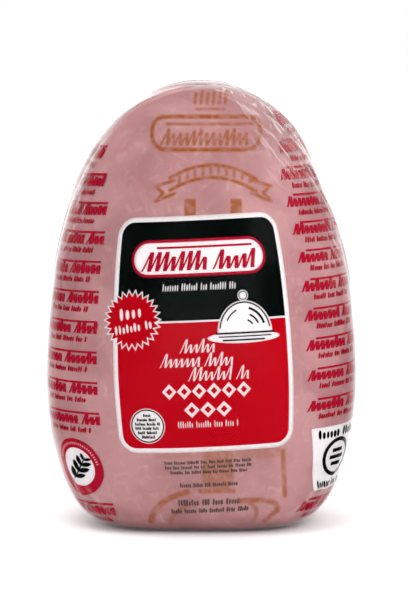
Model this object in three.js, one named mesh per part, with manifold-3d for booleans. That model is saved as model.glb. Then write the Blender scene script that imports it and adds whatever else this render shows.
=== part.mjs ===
// A whole boneless cooked ham in its heat-shrunk clear bag, standing on its flattened butt end.
//
// The ham is one egg-shaped solid. Every level of it is a superellipse, and one profile formula says
// how wide and how deep each level is. The bag is a film that follows the ham all over, with its mouth
// pressed to a flat flap across the crown and folded down towards the back.
//
// Millimetres, +Z up. X runs across the ham, -Y is the printed front and +Y the back. The origin is
// under the middle of the part, on the surface that it stands on.

import * as THREE from "three";
import { mergeVertices } from "three/addons/utils/BufferGeometryUtils.js";
import Module from "manifold-3d";

// Driving dimensions of the ham.
const HAM_HEIGHT = 294;
const HAM_WIDTH = 209;
const HAM_DEPTH = 140;
const WIDEST_AT = 0.344; // height of the widest level, as a share of the ham's height

// Profile above the widest level: share of full size = (1 - s^CROWN_POWER)^CROWN_ROUND, with s from
// 0 at the widest level to 1 at the crown.
const CROWN_POWER = 1.95;
const CROWN_ROUND = 0.42;

// Profile below it, which ends in the flat foot: the foot's width and depth are shares of the full ones.
const BUTT_POWER = 1.73;
const BUTT_ROUND = 0.16;
const FOOT_WIDTH_SHARE = 0.55;
const FOOT_DEPTH_SHARE = 0.58;

// Every level is a superellipse with this exponent: 2 is an ellipse, and more is squarer.
const SQUARENESS = 2.4;

// The bag. Real film is under a tenth of a millimetre thick, and clings with no gap.
const FILM_GAP = 0.4;
const FILM_THICKNESS = 0.6;

// The flap: the bag's mouth, pressed flat and folded back. Its centreline, from root to tip, is a list
// of [distance behind the crown line, height over the film's outside].
const FLAP_WIDTH = 76;
const FLAP_THICKNESS = 1.4;
const FLAP_CENTRELINE = [
  [-0.6, -2.0],
  [-0.6, 1.8],
  [0.2, 2.9],
  [1.6, 3.1],
  [3.4, 2.2],
  [6.0, 1.8],
  [8.5, 1.7],
  [11.0, 1.7],
  [14.0, 1.7],
  [17.0, 1.7],
];
const FLAP_END_SHARE = 0.4; // the flap's height at its two ends, as a share of its height at the middle
const MOUTH_WIDTH = 66;
const MOUTH_GAP = 0.4;
const MOUTH_REACH = 1; // how far the mouth's gap runs past both ends of the flap

// Facets.
const SIDES = 44;
const CROWN_LEVELS = 15;
const BUTT_LEVELS = 10;
const FLAP_STEPS = 16;

const wasm = await Module();
wasm.setup();

// How far the point x, y is from the centre of a superellipse whose half sizes are 1.
function superDistance(x, y) {
  return (Math.abs(x) ** SQUARENESS + Math.abs(y) ** SQUARENESS) ** (1 / SQUARENESS);
}

const crownShare = (s) => (1 - s ** CROWN_POWER) ** CROWN_ROUND;

// Share of the full size at s, from 0 at the widest level to 1 at the foot, where it is footShare.
function buttShare(s, footShare) {
  const left = footShare ** (1 / BUTT_ROUND);
  return (1 - (1 - left) * s ** BUTT_POWER) ** BUTT_ROUND;
}

// The levels from the foot to just under the crown's tip, with their heights and half sizes.
function hamLevels() {
  const levels = [];
  const widest = WIDEST_AT * HAM_HEIGHT;
  for (let i = BUTT_LEVELS; i > 0; i--) {
    const s = 1 - (1 - i / BUTT_LEVELS) ** 2; // closer together near the foot
    levels.push({
      z: widest * (1 - s),
      halfWidth: (HAM_WIDTH / 2) * buttShare(s, FOOT_WIDTH_SHARE),
      halfDepth: (HAM_DEPTH / 2) * buttShare(s, FOOT_DEPTH_SHARE),
    });
  }
  for (let i = 0; i < CROWN_LEVELS; i++) {
    const s = Math.sin((Math.PI / 2) * (i / CROWN_LEVELS));
    levels.push({
      z: widest + (HAM_HEIGHT - widest) * s,
      halfWidth: (HAM_WIDTH / 2) * crownShare(s),
      halfDepth: (HAM_DEPTH / 2) * crownShare(s),
    });
  }
  return levels;
}

// The ham's surface, moved outwards by clearance: rings of SIDES points, closed by a point at the
// middle of the foot and one at the crown's tip. The foot stays flat and level.
function hamSurface(clearance) {
  const stretch = (HAM_HEIGHT + 2 * clearance) / HAM_HEIGHT;
  const points = [];
  for (const { z, halfWidth, halfDepth } of hamLevels()) {
    for (let j = 0; j < SIDES; j++) {
      const angle = (2 * Math.PI * j) / SIDES;
      const unit = 1 / superDistance(Math.cos(angle), Math.sin(angle));
      const x = (halfWidth + clearance) * Math.cos(angle) * unit;
      const y = (halfDepth + clearance) * Math.sin(angle) * unit;
      points.push(new THREE.Vector3(x, y, z * stretch - clearance));
    }
  }
  const lastRing = points.length - SIDES;
  const foot = points.length;
  const tip = foot + 1;
  points.push(new THREE.Vector3(0, 0, -clearance), new THREE.Vector3(0, 0, HAM_HEIGHT + clearance));
  const index = [];
  for (let j = 0; j < SIDES; j++) {
    const next = (j + 1) % SIDES;
    index.push(foot, next, j);
    index.push(tip, lastRing + j, lastRing + next);
    for (let ring = 0; ring < lastRing; ring += SIDES) {
      index.push(ring + j, ring + next, ring + SIDES + next);
      index.push(ring + j, ring + SIDES + next, ring + SIDES + j);
    }
  }
  const geometry = new THREE.BufferGeometry().setFromPoints(points).setIndex(index);
  geometry.computeVertexNormals();
  return geometry;
}

// Height of the film's outside over the point x, y of the crown.
function crownHeight(x, y) {
  const clearance = FILM_GAP + FILM_THICKNESS;
  const share = superDistance(x / (HAM_WIDTH / 2 + clearance), y / (HAM_DEPTH / 2 + clearance));
  const s = (1 - share ** (1 / CROWN_ROUND)) ** (1 / CROWN_POWER);
  return HAM_HEIGHT * (WIDEST_AT + (1 - WIDEST_AT) * s) + clearance;
}

// A strip of even thickness along a centreline of [distance back, height over the film], carried
// across the crown. It lies lower towards the flap's two ends, where the film pulls it tight.
function acrossCrown(centreline, thickness, width) {
  const line = centreline.map(([back, lift]) => new THREE.Vector2(back, lift));
  const offsets = line.map((_, i) => {
    const before = line[Math.max(i - 1, 0)];
    const after = line[Math.min(i + 1, line.length - 1)];
    const along = after.clone().sub(before).normalize();
    return new THREE.Vector2(-along.y, along.x).multiplyScalar(thickness / 2);
  });
  const left = line.map((point, i) => point.clone().add(offsets[i]));
  const right = line.map((point, i) => point.clone().sub(offsets[i]));
  const outline = new THREE.Shape([...right, ...left.reverse()]);
  const strip = new THREE.ExtrudeGeometry(outline, {
    depth: width,
    steps: FLAP_STEPS,
    bevelEnabled: false,
  });
  const position = strip.attributes.position;
  for (let i = 0; i < position.count; i++) {
    const x = position.getZ(i) - width / 2;
    const back = position.getX(i);
    const lift = position.getY(i);
    const slack = 1 - (1 - FLAP_END_SHARE) * (x / (FLAP_WIDTH / 2)) ** 4;
    position.setXYZ(i, x, back, crownHeight(x, back) + (lift > 0 ? lift * slack : lift));
  }
  return strip;
}

// three.js geometry to a manifold-3d solid, and back.
function toSolid(geometry) {
  geometry.deleteAttribute("normal");
  geometry.deleteAttribute("uv");
  const merged = mergeVertices(geometry, 1e-3);
  return new wasm.Manifold(
    new wasm.Mesh({
      numProp: 3,
      vertProperties: merged.attributes.position.array,
      triVerts: new Uint32Array(merged.index.array),
    }),
  );
}

function toGeometry(solid) {
  const mesh = solid.getMesh();
  const geometry = new THREE.BufferGeometry();
  geometry.setAttribute("position", new THREE.BufferAttribute(mesh.vertProperties, 3));
  geometry.setIndex(new THREE.BufferAttribute(mesh.triVerts, 1));
  geometry.computeVertexNormals();
  return geometry;
}

// The ham: one piece of meat, pressed and cooked in a mould, so one solid.
function makeHam() {
  const meat = new THREE.MeshStandardMaterial({ color: "#c99496", roughness: 0.45, metalness: 0 });
  const ham = new THREE.Mesh(hamSurface(0), meat);
  ham.name = "cooked_ham";
  return ham;
}

// The bag: a film all round the ham, and the folded flap, with the mouth's gap running through it.
function makeBag() {
  const [rootBack, rootLift] = FLAP_CENTRELINE[0];
  const [tipBack, tipLift] = FLAP_CENTRELINE.at(-1);
  const mouthLine = [
    [rootBack, rootLift - MOUTH_REACH],
    ...FLAP_CENTRELINE.slice(1, -1),
    [tipBack + MOUTH_REACH, tipLift],
  ];
  const flap = toSolid(acrossCrown(FLAP_CENTRELINE, FLAP_THICKNESS, FLAP_WIDTH));
  const mouth = toSolid(acrossCrown(mouthLine, MOUTH_GAP, MOUTH_WIDTH));
  const outside = toSolid(hamSurface(FILM_GAP + FILM_THICKNESS));
  const inside = toSolid(hamSurface(FILM_GAP));
  const film = new THREE.MeshStandardMaterial({
    color: "#f4efee",
    roughness: 0.12,
    metalness: 0,
    transparent: true,
    opacity: 0.25,
  });
  const bag = new THREE.Mesh(toGeometry(outside.add(flap).subtract(inside).subtract(mouth)), film);
  bag.name = "shrink_bag";
  return bag;
}

const part = new THREE.Group();
part.add(makeHam(), makeBag());
part.position.z = FILM_GAP + FILM_THICKNESS; // the bag's foot is what stands on the ground

export default part;
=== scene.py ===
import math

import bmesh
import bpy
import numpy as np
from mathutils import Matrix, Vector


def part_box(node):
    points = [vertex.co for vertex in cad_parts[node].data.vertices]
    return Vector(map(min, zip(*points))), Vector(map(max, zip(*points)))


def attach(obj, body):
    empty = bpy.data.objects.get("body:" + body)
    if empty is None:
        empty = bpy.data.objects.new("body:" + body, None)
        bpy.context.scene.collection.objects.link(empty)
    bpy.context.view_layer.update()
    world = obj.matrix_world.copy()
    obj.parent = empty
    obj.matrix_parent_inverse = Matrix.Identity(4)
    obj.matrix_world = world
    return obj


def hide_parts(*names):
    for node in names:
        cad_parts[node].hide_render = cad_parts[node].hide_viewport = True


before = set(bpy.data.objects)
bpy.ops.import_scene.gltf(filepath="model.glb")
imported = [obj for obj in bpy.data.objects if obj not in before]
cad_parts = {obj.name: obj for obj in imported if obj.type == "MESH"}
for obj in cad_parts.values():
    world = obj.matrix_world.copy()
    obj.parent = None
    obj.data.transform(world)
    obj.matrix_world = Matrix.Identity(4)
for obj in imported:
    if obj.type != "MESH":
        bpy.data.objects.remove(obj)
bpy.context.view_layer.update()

# A whole boneless cooked ham in its clear printed shrink bag, standing on its flattened butt end.
#
# Everything is worked out in millimetres on one surface, the meat's, and turned to metres when it
# becomes a mesh. A point of that surface is named by its angle round from the front centre and by its
# distance up the side from the foot's edge. The bag, its ink and its folds lie a little over it.

bl_info = {
    "name": "Cooked ham in a shrink bag",
    "version": (1, 0, 0),
    "blender": (4, 5, 0),
    "location": "3D View > Sidebar > Ham",
    "description": "Builds a whole boneless cooked ham in its clear printed shrink bag",
    "category": "Add Mesh",
}

MM = 0.001

# ---------------------------------------------------------------------------------------------
# The ham's form. Its sizes come from the frame, and its profile is the frame's profile.

LOW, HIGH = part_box("cooked_ham")
HALF_WIDTH = (HIGH[0] - LOW[0]) / 2 / MM
HALF_DEPTH = (HIGH[1] - LOW[1]) / 2 / MM
HAM_HEIGHT = (HIGH[2] - LOW[2]) / MM
FILM_LIFT = LOW[2] / MM  # the film's outside stands this far off the meat, so the meat starts this high

WIDEST_AT = 0.344
CROWN_POWER = 1.95
CROWN_ROUND = 0.42
BUTT_POWER = 1.73
BUTT_ROUND = 0.16
FOOT_WIDTH_SHARE = 0.55
FOOT_DEPTH_SHARE = 0.58
SQUARENESS = 2.4
FOOT_SQUARENESS = 3.3
FOOT_REACH = HALF_WIDTH * FOOT_WIDTH_SHARE


def smooth(edge_low, edge_high, value):
    """0 below the low edge, 1 above the high edge, and 3t^2 - 2t^3 between them."""
    t = np.clip((value - edge_low) / (edge_high - edge_low), 0, 1)
    return t * t * (3 - 2 * t)


def half_sizes(height):
    """Half width and half depth of the ham at a height over its foot.

    With s from 0 at the widest level to 1 at the crown's tip, the share of the full size is
    (1 - s^power)^round. Below the widest level it is (1 - (1 - foot^(1/round)) s^power)^round,
    which ends at the foot's share.
    """
    share = height / HAM_HEIGHT
    up = np.clip((share - WIDEST_AT) / (1 - WIDEST_AT), 0, 1)
    down = np.clip((WIDEST_AT - share) / WIDEST_AT, 0, 1)
    crown = (1 - up**CROWN_POWER) ** CROWN_ROUND
    butts = [
        (1 - (1 - foot ** (1 / BUTT_ROUND)) * down**BUTT_POWER) ** BUTT_ROUND
        for foot in (FOOT_WIDTH_SHARE, FOOT_DEPTH_SHARE)
    ]
    return HALF_WIDTH * crown * butts[0], HALF_DEPTH * crown * butts[1]


def unit_section(around, power=SQUARENESS):
    """Point of a superellipse of half size 1, at an angle round from the front centre, + towards +X."""
    x = np.sin(around)
    y = -np.cos(around)
    reach = (np.abs(x) ** power + np.abs(y) ** power) ** (-1 / power)
    return x * reach, y * reach


# Distance up the side from the foot's edge, as a table against height.
SIDE_HEIGHTS = HAM_HEIGHT * (1 - np.cos(np.linspace(0, np.pi, 4001))) / 2
SIDE_STEPS = np.hypot(np.diff(half_sizes(SIDE_HEIGHTS)[0]), np.diff(SIDE_HEIGHTS))
SIDE_LENGTHS = np.concatenate([[0.0], np.cumsum(SIDE_STEPS)])
SIDE_REACH = SIDE_LENGTHS[-1]

# Distance round the bag at its widest level from the front centre, as a table against angle.
GIRTH_ANGLES = np.linspace(-np.pi, np.pi, 7201)
GIRTH_X, GIRTH_Y = unit_section(GIRTH_ANGLES)
GIRTH_STEPS = np.hypot(
    np.diff(GIRTH_X * (HALF_WIDTH + FILM_LIFT)), np.diff(GIRTH_Y * (HALF_DEPTH + FILM_LIFT))
)
GIRTH_LENGTHS = np.concatenate([[0.0], np.cumsum(GIRTH_STEPS)])
GIRTH = GIRTH_LENGTHS[-1]
GIRTH_LENGTHS = GIRTH_LENGTHS - GIRTH / 2

# The print narrows with the bag, but by this power of the level's width less, because film shrinks
# most where the bag is narrowest.
PRINT_SHRINK = 0.13


def plain_surface(around, along):
    """Point of the meat before its swells: angle round from the front centre, and distance up the
    side from the foot's edge, which is negative across the flat foot down to its centre."""
    height = np.interp(along, SIDE_LENGTHS, SIDE_HEIGHTS)
    half_width, half_depth = half_sizes(height)
    inwards = np.clip(1 + along / FOOT_REACH, 0, 1)
    # The foot is squarer than the rest, because the ham's weight has pressed it flat.
    power = SQUARENESS + (FOOT_SQUARENESS - SQUARENESS) * (1 - smooth(0, 42, height))
    x, y = unit_section(around, power)
    return np.stack(
        [half_width * inwards * x, half_depth * inwards * y, FILM_LIFT + height + 0 * x], axis=-1
    )


def outward(around, along):
    """Unit normal of the plain surface, from the cross product of its two central differences."""
    along = np.clip(along, 0.3 - FOOT_REACH, SIDE_REACH - 0.3)
    up = plain_surface(around, along + 0.2) - plain_surface(around, along - 0.2)
    side = plain_surface(around + 0.004, along) - plain_surface(around - 0.004, along)
    normal = np.cross(side, up)
    return normal / np.linalg.norm(normal, axis=-1, keepdims=True)


def place_on_print(across, height):
    """Angle round and distance up the side for a place of the print: across is the distance round
    the bag from the front centre at its widest level, and height is over the floor."""
    over_foot = np.clip(height - FILM_LIFT, 0, HAM_HEIGHT)
    narrowing = (half_sizes(over_foot)[0] / HALF_WIDTH) ** -PRINT_SHRINK
    round_bag = across * narrowing
    turns = np.round(round_bag / GIRTH)
    around = np.interp(round_bag - turns * GIRTH, GIRTH_LENGTHS, GIRTH_ANGLES) + turns * 2 * np.pi
    return around, np.interp(over_foot, SIDE_HEIGHTS, SIDE_LENGTHS)


def swells(points):
    """Slow swells of the meat, in mm outwards: three long sine waves and two short ones, and a
    shallow dent in the right flank under the crown. They fade out over the foot."""
    x, y, z = points[..., 0], points[..., 1], points[..., 2]
    slow = np.sin(x / 17 + z / 29) + np.sin(z / 21 - x / 37 + 1.3) + np.sin(x / 23 + y / 19 - z / 43)
    quick = np.sin(x / 6.1 + z / 9.3 + y / 7.7) + np.sin(z / 6.7 - x / 8.9 + y / 6.3 + 2.0)
    dent = smooth(25, 85, x) * np.exp(-(((z - 226) / 30) ** 2))
    return (0.28 * slow + 0.07 * quick) * smooth(3, 26, z) - 1.2 * dent


# Folds that stand up where the film has gathered: start, middle and end on the print as distance
# across and height, then how high it stands and how wide it is to one side.
FOLDS = [
    # long folds down the left edge, where the film stands off the meat
    ((-96, 284), (-124, 266), (-134, 215), 1.6, 1.7),
    ((-84, 287), (-134, 266), (-153, 190), 2.2, 2.6),
    ((-112, 274), (-130, 250), (-139, 196), 1.2, 1.5),
    ((-128, 226), (-138, 200), (-140, 160), 0.9, 1.8),
    # folds that run from the crown down to the right
    ((30, 291), (62, 288), (84, 272), 1.4, 1.6),
    ((50, 292.5), (92, 287), (112, 262), 2.0, 2.0),
    ((64, 293.5), (116, 288), (132, 244), 2.4, 2.8),
    ((74, 281), (88, 273), (96, 258), 0.9, 1.4),
    ((60, 266), (66, 258), (64, 246), 0.6, 1.4),
    ((84, 262), (98, 252), (108, 234), 1.1, 1.6),
    ((96, 262), (112, 246), (120, 224), 1.3, 1.6),
    ((94, 240), (108, 228), (120, 206), 1.1, 1.8),
    ((112, 232), (122, 214), (130, 186), 1.2, 1.8),
    ((124, 214), (132, 190), (136, 158), 0.9, 1.8),
    # one along the left of the crown
    ((-30, 294.4), (-86, 291), (-112, 270), 1.3, 1.8),
    # gathers just above the foot, at the front corners
    ((-62, 9), (-76, 18), (-92, 36), 0.8, 1.8),
    ((-80, 12), (-96, 26), (-106, 46), 0.9, 1.9),
    ((66, 10), (78, 18), (94, 34), 0.8, 1.8),
    ((84, 12), (98, 26), (112, 50), 0.9, 2.0),
    ((-30, 6), (-34, 12), (-36, 20), 0.5, 1.6),
    ((24, 6), (27, 12), (28, 21), 0.5, 1.6),
    # the back: folds that fan out from under the flap, and gathers at the foot
    ((-254, 292), (-240, 276), (-236, 236), 1.2, 2.0),
    ((-276, 292), (-270, 268), (-272, 222), 1.0, 1.9),
    ((262, 292), (256, 270), (262, 232), 1.1, 1.9),
    ((240, 291), (222, 270), (214, 228), 1.3, 2.1),
    ((-212, 286), (-192, 262), (-186, 222), 1.2, 2.2),
    ((204, 284), (184, 258), (180, 214), 1.2, 2.2),
    ((150, 268), (152, 240), (158, 204), 1.4, 2.2),
    ((146, 236), (152, 204), (150, 160), 1.1, 2.4),
    ((-262, 8), (-258, 18), (-250, 36), 0.8, 1.9),
    ((-222, 10), (-214, 22), (-210, 44), 0.9, 1.9),
    ((268, 8), (262, 16), (256, 30), 0.7, 1.8),
    ((226, 10), (216, 24), (208, 46), 0.9, 2.0),
    ((158, 22), (160, 44), (156, 74), 0.9, 2.2),
    ((-160, 24), (-160, 46), (-156, 78), 0.9, 2.2),
]


def bezier(t, start, middle, end):
    """Points of a quadratic Bezier curve: (1 - t)^2 start + 2 t (1 - t) middle + t^2 end."""
    start, middle, end = (np.array(corner, dtype=float) for corner in (start, middle, end))
    t = t[:, None]
    return (1 - t) ** 2 * start + 2 * t * (1 - t) * middle + t**2 * end


def fold_height(points):
    """How far the film's folds stand out at each point, in mm: the highest of all folds there.

    A fold is a quadratic Bezier curve on the print. Its section is a bell, exp(-(distance/width)^2),
    and its height grows and dies along it as the square root of sin(pi t).
    """
    flat = points.reshape(-1, 3)
    out = np.zeros(len(flat))
    t = np.linspace(0, 1, 41)
    along = np.sqrt(np.sin(np.pi * np.clip(t, 0.002, 0.998)))
    for start, middle, end, height, width in FOLDS:
        line = plain_surface(*place_on_print(*bezier(t, start, middle, end).T))
        reach = 3 * width
        near = np.all((flat > line.min(axis=0) - reach) & (flat < line.max(axis=0) + reach), axis=1)
        if not near.any():
            continue
        gaps = np.linalg.norm(flat[near][:, None, :] - line[None, :, :], axis=2)
        bell = np.exp(-((gaps.min(axis=1) / width) ** 2))
        out[near] = np.maximum(out[near], height * bell * along[gaps.argmin(axis=1)])
    return out.reshape(points.shape[:-1])


# The ridge across the crown, from which the bag's pressed mouth is folded back.
RIDGE_HEIGHT = 2.5
RIDGE_HALF_WIDTH = 40.0


def ridge_height(points):
    """The film's ridge across the crown: a bell over the depth, a parabola over the width, and
    small even pleats on it."""
    x, y, z = points[..., 0], points[..., 1], points[..., 2]
    arch = np.clip(1 - (x / RIDGE_HALF_WIDTH) ** 2, 0, 1)
    bell = np.exp(-(((y + 0.6) / 4.2) ** 2))
    pleats = 1 + 0.16 * np.sin(x / 1.9) * smooth(0, 6, np.abs(y))
    return RIDGE_HEIGHT * arch * bell * pleats * smooth(270, 286, z)


def film_gap(points):
    """How much further the film stands off the meat where it has bridged a hollow, in mm: two bells,
    one along the left edge under the crown and one over the right shoulder."""
    x, z = points[..., 0], points[..., 2]
    left = 1.9 * np.exp(-(((x + 86) / 20) ** 2) - ((z - 236) / 34) ** 2)
    right = 2.3 * np.exp(-(((x - 54) / 30) ** 2) - ((z - 276) / 20) ** 2)
    return left + right


def ham_skin(around, along, lift, film=False):
    """Point over the meat at a given lift along the plain surface's normal. On the film the folds
    and the ridge are added to the meat's swells."""
    points = plain_surface(around, along)
    height = lift + swells(points)
    if film:
        height = height + fold_height(points) + ridge_height(points)
    return points + height[..., None] * outward(around, along)


# ---------------------------------------------------------------------------------------------
# The print's own frame: p across and q up, in mm, turned a little about the label's centre.

LABEL_CENTRE = (0.75, 134.25)
PRINT_TURN = math.radians(2.3)


def on_print(p, q, lift):
    """Point over the meat for a place p, q of the print: turned by the print's turn about the label's
    centre, then wrapped round the bag. Round the bag the turn is a sine, so that it joins at the back."""
    reach = GIRTH / (2 * np.pi)
    across = LABEL_CENTRE[0] + p - q * math.sin(PRINT_TURN)
    height = LABEL_CENTRE[1] + reach * np.sin(p / reach) * math.sin(PRINT_TURN) + q
    return ham_skin(*place_on_print(across, height), lift, film=True)


# Each layer of ink is a sheet this far over the meat, under the film.
INK_LIFTS = {"base": 0.34, "panel": 0.42, "mark": 0.50, "face": 0.58, "stroke": 0.66, "top": 0.74}
INK_THICKNESS = 0.03

# ---------------------------------------------------------------------------------------------
# Meshes.

WELD = 0.02  # where a mesh is welded, points nearer than this become one


def new_piece(name, points, faces, material, replaces=None, weld=False):
    """A mesh piece from points in mm and lists of corners, riding on the frame's one body."""
    mesh = bpy.data.meshes.new(name)
    mesh.from_pydata((points.reshape(-1, 3) * MM).tolist(), [], faces.tolist())
    if weld:
        body = bmesh.new()
        body.from_mesh(mesh)
        bmesh.ops.remove_doubles(body, verts=body.verts, dist=WELD * MM)
        body.to_mesh(mesh)
        body.free()
    mesh.polygons.foreach_set("use_smooth", np.ones(len(mesh.polygons), dtype=bool))
    mesh.update()
    mesh.materials.append(material)
    piece = bpy.data.objects.new(name, mesh)
    bpy.context.scene.collection.objects.link(piece)
    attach(piece, "root")
    if replaces:
        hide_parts(replaces)
    return piece


def vertex_places(piece):
    """Places of a piece's vertices in mm, one row each."""
    where = np.empty(len(piece.data.vertices) * 3)
    piece.data.vertices.foreach_get("co", where)
    return where.reshape(-1, 3) / MM


def set_shares(piece, **shares):
    """Give a piece's vertices named shares from 0 to 1, which its material reads."""
    for name, values in shares.items():
        attribute = piece.data.attributes.new(name, "FLOAT", "POINT")
        attribute.data.foreach_set("value", values.reshape(-1))


def grid_faces(patches, rows, columns, closed=False):
    """Corners of the quads of equal grids of points, one grid after another. A closed grid's last
    column joins its first."""
    steps = columns if closed else columns - 1
    row, column = np.meshgrid(np.arange(rows - 1), np.arange(steps), indexing="ij")
    after = (column + 1) % columns
    corners = [row * columns + column, row * columns + after]
    corners += [(row + 1) * columns + after, (row + 1) * columns + column]
    quads = np.stack(corners, axis=-1).reshape(-1, 4)
    return (np.arange(patches)[:, None, None] * rows * columns + quads).reshape(-1, 4)


def thicken(piece, thickness):
    """Give a sheet its thickness, in mm, half of it to each side."""
    wall = piece.modifiers.new("Thickness", "SOLIDIFY")
    wall.thickness = thickness * MM
    wall.offset = 0


def ink_sheet(name, patches, lift, colour, weld=False):
    """One piece of ink from grids of places on the print. patches is a pair of arrays p and q, each
    of shape (count, rows, columns), with p growing along the columns and q along the rows."""
    p, q = patches
    points = on_print(p, q, INK_LIFTS[lift])
    piece = new_piece(name, points, grid_faces(*p.shape), ink(colour), weld=weld)
    thicken(piece, INK_THICKNESS)


def join_patches(*groups):
    """Several groups of equal patches as one."""
    return np.concatenate([g[0] for g in groups]), np.concatenate([g[1] for g in groups])


def turned(patches, angle, about):
    """Patches turned counterclockwise by an angle about a centre."""
    p, q = patches[0] - about[0], patches[1] - about[1]
    cos, sin = math.cos(angle), math.sin(angle)
    return about[0] + p * cos - q * sin, about[1] + p * sin + q * cos


def between(inner, outer, centre, steps):
    """A band between two closed outlines round a centre, given as (x, y) arrays that run
    counterclockwise and end where they start: straight blends from one to the other."""
    t = np.linspace(0, 1, steps + 1)[None, :]
    p = inner[0][:, None] * (1 - t) + outer[0][:, None] * t + centre[0]
    q = inner[1][:, None] * (1 - t) + outer[1][:, None] * t + centre[1]
    return p[None], q[None]


def filled(outline, centre, steps):
    """A filled shape: the band from its centre, as an outline shrunk to one point, to its outline."""
    point = 0 * outline[0] + centre[0], 0 * outline[1] + centre[1]
    return between(point, outline, (0, 0), steps)


def circle(radius, count=49, squash=1.0):
    """Closed outline of a circle, or of an ellipse where squash is not 1."""
    angle = np.linspace(0, 2 * np.pi, count)
    return radius * np.cos(angle), radius * squash * np.sin(angle)


def ring(centre, inner, outer, steps, count=49, squash=1.0):
    """The band between two circles round a centre, which is a disc where the inner radius is 0."""
    return between(circle(inner, count, squash), circle(outer, count, squash), centre, steps)


def rounded_box(left, right, bottom, top, radii, spacing=2.4):
    """Closed outline of a rectangle with a quarter circle at each corner, counterclockwise from the
    middle of its right side. radii are those at the right top, left top, left bottom, right bottom."""
    corners = [
        (right, top, -1, -1, 0),
        (left, top, 1, -1, 1),
        (left, bottom, 1, 1, 2),
        (right, bottom, -1, 1, 3),
    ]
    xs, ys = [np.array([right])], [np.array([(bottom + top) / 2])]
    for (x, y, in_x, in_y, quarter), radius in zip(corners, radii):
        angle = np.linspace(0, np.pi / 2, 9) + quarter * np.pi / 2
        xs.append(x + in_x * radius + radius * np.cos(angle))
        ys.append(y + in_y * radius + radius * np.sin(angle))
    xs.append(np.array([right]))
    ys.append(np.array([(bottom + top) / 2]))
    x, y = np.concatenate(xs), np.concatenate(ys)
    lengths = np.concatenate([[0], np.cumsum(np.hypot(np.diff(x), np.diff(y)))])
    count = int(lengths[-1] / spacing)
    places = np.union1d(np.linspace(0, lengths[-1], count), lengths)
    return np.interp(places, lengths, x), np.interp(places, lengths, y)


def star(outer, inner, points):
    """Closed outline of a burst: a zigzag between two radii, three steps to each slope."""
    angle = np.linspace(0, 2 * np.pi, points * 6 + 1)
    phase = np.abs(((angle * points / (2 * np.pi)) % 1) * 2 - 1)
    radius = inner + (outer - inner) * phase
    return radius * np.cos(angle), radius * np.sin(angle)


def strokes(rows, seed, pitch, weight, slant=0.0):
    """Rows of short brush strokes with word gaps, which stand where lettering would: no letters.

    rows is a list of (left, right, centre height, stroke height), and pitch is for strokes 6 mm high.
    Along t from 0 at a stroke's foot to 1 at its head its middle is at slant * height * (t - 1/2), and
    its half width is weight * pitch / 2 * (0.35 + 0.65 (1 - |2t - 1|^3)^(1/2)). A stroke that begins a
    word is full height, and a row of up to 9 strokes is one word.
    """
    rng = np.random.default_rng(seed)
    middles, bases, heights, widths = [], [], [], []
    for left, right, centre, height in rows:
        step = pitch * height / 6
        count = max(int((right - left) / step), 1)
        x = left + (np.arange(count) + 0.5) * (right - left) / count
        word = np.cumsum(rng.integers(4, 9, size=count))
        keep = ~np.isin(np.arange(count), word) if count > 9 else np.ones(count, dtype=bool)
        tall = rng.choice([0.72, 0.72, 0.8, 1.0], size=count)
        tall[0] = 1.0
        tall[np.isin(np.arange(count), word + 1)] = 1.0
        middles.append(x[keep])
        bases.append(np.full(keep.sum(), centre - height / 2))
        heights.append(height * tall[keep])
        widths.append(step * weight * rng.uniform(0.85, 1.15, size=count)[keep])
    x, base, height, width = (
        np.concatenate(values)[:, None, None] for values in (middles, bases, heights, widths)
    )
    t = np.linspace(0, 1, 6)[:, None]
    swell = 0.35 + 0.65 * (1 - np.abs(2 * t - 1) ** 3) ** 0.5
    side = np.linspace(-0.5, 0.5, 3)
    p = x + slant * height * (t - 0.5) + width * swell * side
    return p, base + height * t + 0 * p


def scribbles(rows, seed, pitch, nib, slant, low):
    """Rows of running brush work, which stand where script would: waves with no letters in them.

    rows is a list of (left, right, centre height, stroke height). Thin rises and thick falls take
    turns, half a pitch across each. Along t from 0 at the foot to 1 at the head a stroke is at height
    h (1 - cos(pi t)) / 2 and moves across evenly, plus slant times its height; the nib is level, so
    the turns are thin. Every few falls a word gap is left, and the first of a word is full height.
    Most others are low, as a share of it.
    """
    rng = np.random.default_rng(seed)
    made = []
    for left, right, centre, height in rows:
        count = max(int((right - left - slant * height) / pitch), 2)
        step = (right - left - slant * height) / count / 2
        tops = height * rng.choice([low, low, low + 0.08, 1.0], size=count)
        gap = np.isin(np.arange(count), np.cumsum(rng.integers(6, 10, size=count)))
        tops[0] = height
        tops[1:][gap[:-1]] = height
        foot = left + 2 * step * np.arange(count)
        base = centre - height / 2 + 0 * foot
        for start, weight in ((foot, 0.5), (foot + 2 * step, 1)):
            made.append(np.stack([start, foot + step, tops, weight + 0 * foot, base], axis=1)[~gap])
    start, end, top, weight, base = np.concatenate(made).T[:, :, None, None]
    t = np.linspace(0, 1, 8)[:, None]
    up = (1 - np.cos(np.pi * t)) / 2
    side = np.linspace(-0.5, 0.5, 3)
    p = start + (end - start) * t + slant * top * up + nib * weight * side
    return p, base + top * up + 0 * p


def lozenges(rows):
    """Rows of open lozenges, which stand where capitals would. rows is a list of (left, right, centre
    height, height, count). At s round the outline from 0 to 4 a corner is passed at each whole
    number, and the places between lie on straight lines."""
    s = np.linspace(0, 4, 17)[:, None]
    corners = np.arange(5)
    across = np.interp(s, corners, (1, 0, -1, 0, 1))
    up = np.interp(s, corners, (0, 1, 0, -1, 0))
    reach = np.linspace(0.46, 1, 4)
    p, q = [], []
    for left, right, centre, height, count in rows:
        half = (right - left) / count / 2
        for middle in left + half * (1 + 2 * np.arange(count)):
            p.append(middle + 0.97 * half * across * reach)
            q.append(centre + height / 2 * up * reach)
    return np.array(p), np.array(q)


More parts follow.
